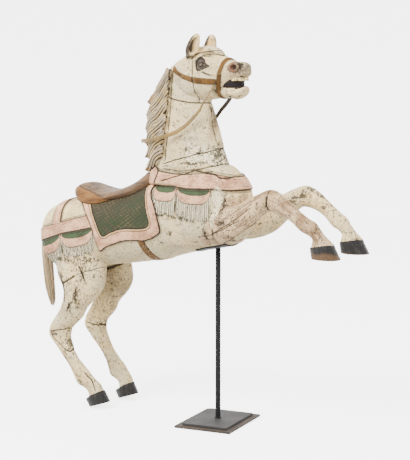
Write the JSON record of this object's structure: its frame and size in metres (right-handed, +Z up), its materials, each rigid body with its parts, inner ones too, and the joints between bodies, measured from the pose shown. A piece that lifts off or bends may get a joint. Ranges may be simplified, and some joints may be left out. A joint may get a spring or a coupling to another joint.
{
  "type": "carousel horse",
  "caption": "Carved and painted wooden carousel horse, rearing with open mouth, saddle and fringed harness, carried by a steel rod and cradle on a stepped plate base",
  "frame": {"origin": "on the floor under the middle of the rod, at the centre of the lower base plate's underside", "axes": "+X is the way the horse looks, +Y is the horse's left, +Z is up"},
  "size_m": [1.509, 0.3426, 1.5],
  "materials": {
    "painted_wood": "aged flaking paint",
    "horsehair": "dry hair",
    "rein_leather": "worn strap",
    "nail_iron": "dull",
    "black_steel": "satin black",
    "brown_steel": "browned steel"
  },
  "bodies": {
    "root": {"horse": "painted_wood", "horsehair_tail": "horsehair", "reins": "rein_leather", "rein_nail_right": "nail_iron", "rein_nail_left": "nail_iron", "cradle": "black_steel", "rod": "black_steel", "upper_base_plate": "black_steel", "lower_base_plate": "brown_steel"}
  },
  "joints": []
}
